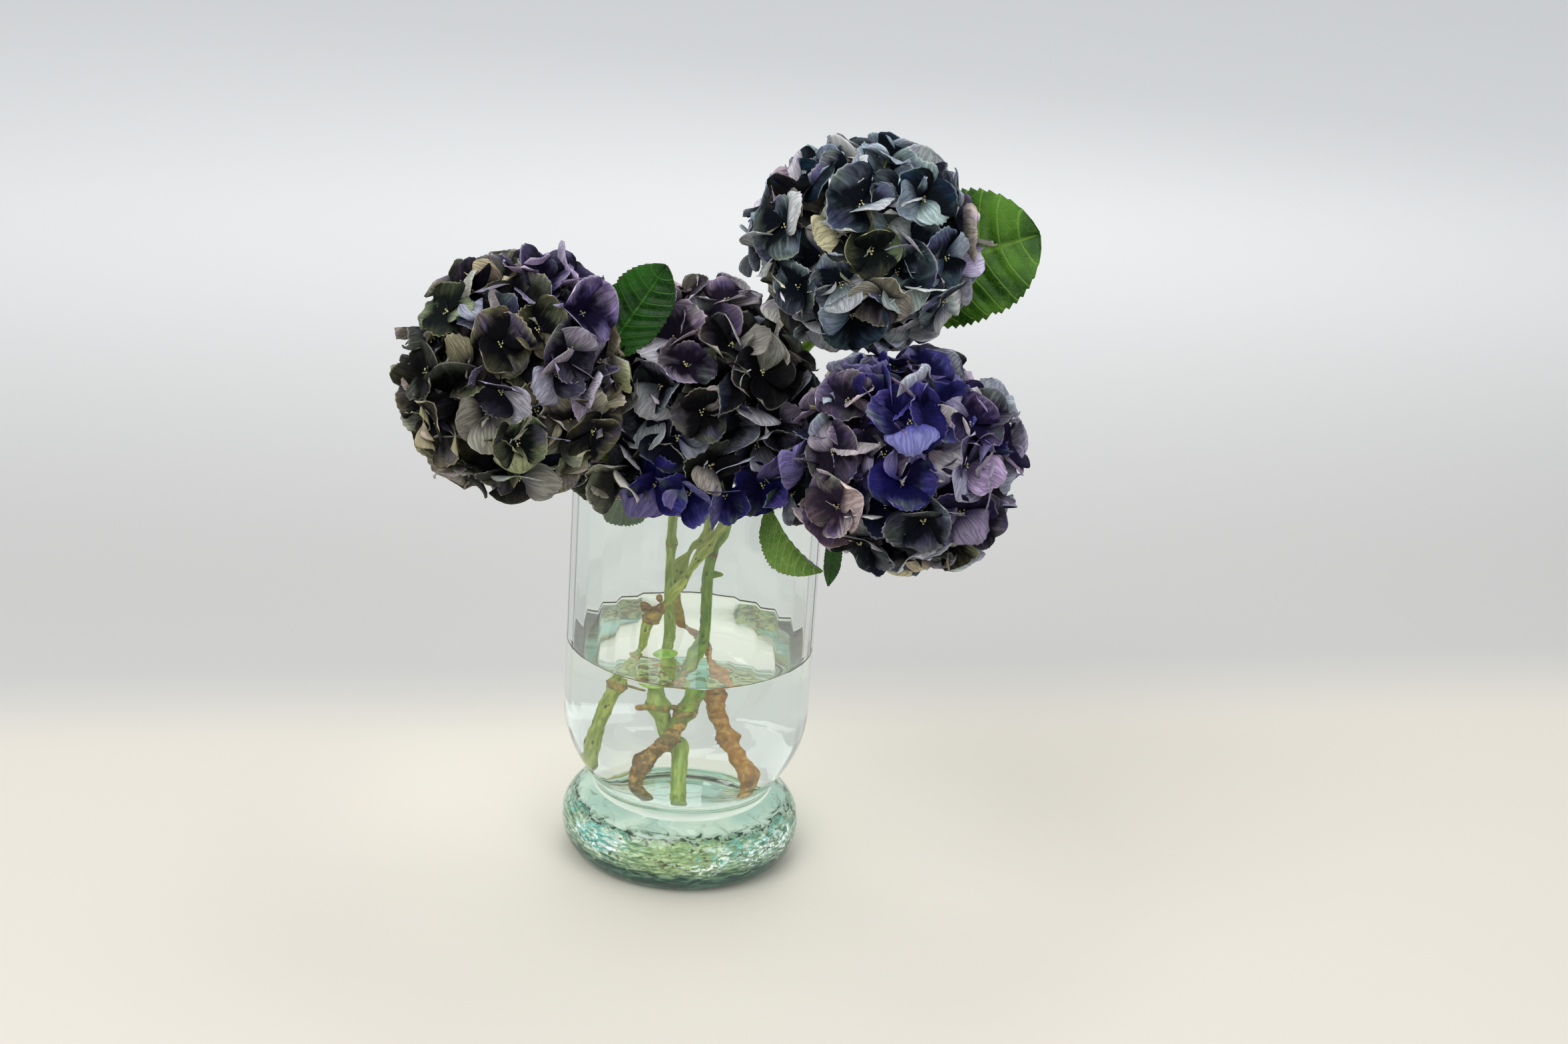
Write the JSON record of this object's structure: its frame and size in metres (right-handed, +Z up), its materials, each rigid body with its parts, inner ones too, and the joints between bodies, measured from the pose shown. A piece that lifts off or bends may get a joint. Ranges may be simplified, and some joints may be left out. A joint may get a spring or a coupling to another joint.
{
  "type": "hydrangeas in a vase",
  "caption": "Cut mop-head hydrangeas with stems and leaves, standing in a footed clear glass vase part filled with water.",
  "frame": {"origin": "centre of the vase's flat underside, where it stands", "axes": "+Z up along the vase's axis, +X to the right and -Y to the front as the arrangement is seen"},
  "size_m": [0.4038, 0.2704, 0.5258],
  "materials": {
    "vase_glass": "gloss",
    "water": "gloss",
    "stem": "satin",
    "leaf": "satin",
    "petals_left": "matte",
    "petals_centre": "matte",
    "petals_top": "matte",
    "petals_right": "matte"
  },
  "bodies": {
    "root": {"vase": "vase_glass", "water": "water", "stem_right": "stem", "stem_left": "stem", "stem_top": "stem", "stem_centre": "stem", "leaf_top": "leaf", "leaf_left": "leaf", "leaf_under": "leaf", "leaf_right": "leaf", "leaf_small": "leaf", "bloom_left": "petals_left", "bloom_centre": "petals_centre", "bloom_top": "petals_top", "bloom_right": "petals_right"}
  },
  "joints": []
}
